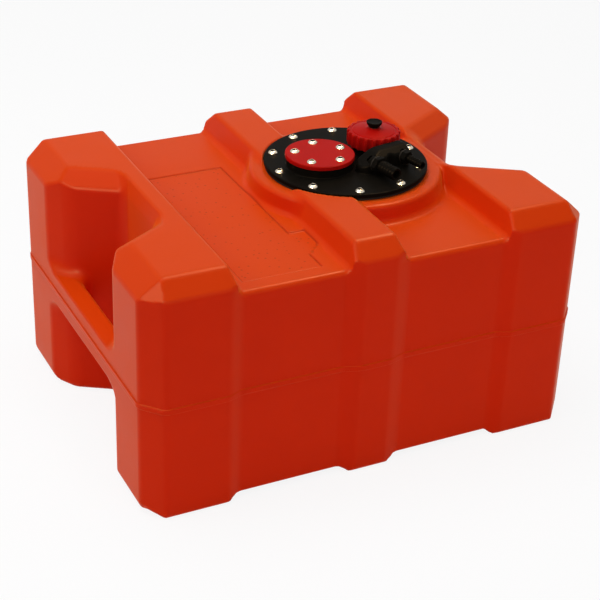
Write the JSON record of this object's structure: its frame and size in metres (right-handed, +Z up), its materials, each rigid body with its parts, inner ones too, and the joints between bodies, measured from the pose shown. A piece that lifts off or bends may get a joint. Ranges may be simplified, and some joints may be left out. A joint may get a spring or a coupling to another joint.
{
  "type": "inboard fuel tank",
  "caption": "Box-shaped moulded boat fuel tank with raised bands, end carrying handles and a bolted round cover that carries a filler cap, sender port and hose tails.",
  "frame": {"origin": "under the middle of the tank, on the plane of the feet", "axes": "+X along the tank towards the cover, +Y across it to the back, +Z up"},
  "size_m": [0.5024, 0.3864, 0.3],
  "materials": {
    "tank_plastic": "satin orange-red polyethylene",
    "cover_plastic": "satin black moulding",
    "fitting_red": "glossy red moulding",
    "stainless": "bright stainless",
    "brass": "plain brass",
    "rubber": "black nitrile rubber",
    "aluminium": "plain drawn tube",
    "strainer_plastic": "natural nylon"
  },
  "bodies": {
    "tank": {"tank_body": "tank_plastic", "flange_inserts": "brass", "flange_gasket": "rubber", "flange_plate": "cover_plastic", "flange_screws": "stainless", "sender_inserts": "brass", "sender_gasket": "rubber", "sender_plate": "fitting_red", "sender_screws": "stainless", "vent_tail": "cover_plastic", "vent_tail_washer": "rubber", "outlet_tail": "cover_plastic", "outlet_tail_washer": "rubber", "pickup_tube": "aluminium", "pickup_strainer": "strainer_plastic", "pickup_end_cap": "strainer_plastic", "vent_valve_cage": "cover_plastic", "vent_valve_floor": "cover_plastic"},
    "cap_thread": {"cap_gasket": "rubber"},
    "cap": {"cap_shell": "fitting_red"},
    "bleed_thread": {"vent_seal": "rubber", "vent_retainer": "stainless"},
    "bleed_knob": {"vent_knob": "cover_plastic"},
    "vent_ball": {"vent_valve_ball": "strainer_plastic"}
  },
  "joints": [
    {"name": "cap_rise", "type": "slide", "parent": "tank", "child": "cap_thread", "axis": [0, 0, 1], "range_m": [0, 0.008]},
    {"name": "cap_turn", "type": "hinge", "parent": "cap_thread", "child": "cap", "pos_m": [0.098, 0.014, 0.28], "axis": [0, 0, 1], "range_deg": [0, 720]},
    {"name": "knob_rise", "type": "slide", "parent": "cap", "child": "bleed_thread", "axis": [0, 0, 1], "range_m": [0, 0.003]},
    {"name": "knob_turn", "type": "hinge", "parent": "bleed_thread", "child": "bleed_knob", "pos_m": [0.098, 0.014, 0.295], "axis": [0, 0, 1], "range_deg": [0, 540]},
    {"name": "vent_float", "type": "slide", "parent": "tank", "child": "vent_ball", "axis": [0, 0, 1], "range_m": [0, 0.011]}
  ],
  "couplings": [
    {"joint": "cap_turn", "follows": "cap_rise", "rad_per_m": 1570.8},
    {"joint": "knob_turn", "follows": "knob_rise", "rad_per_m": 3141.6}
  ]
}
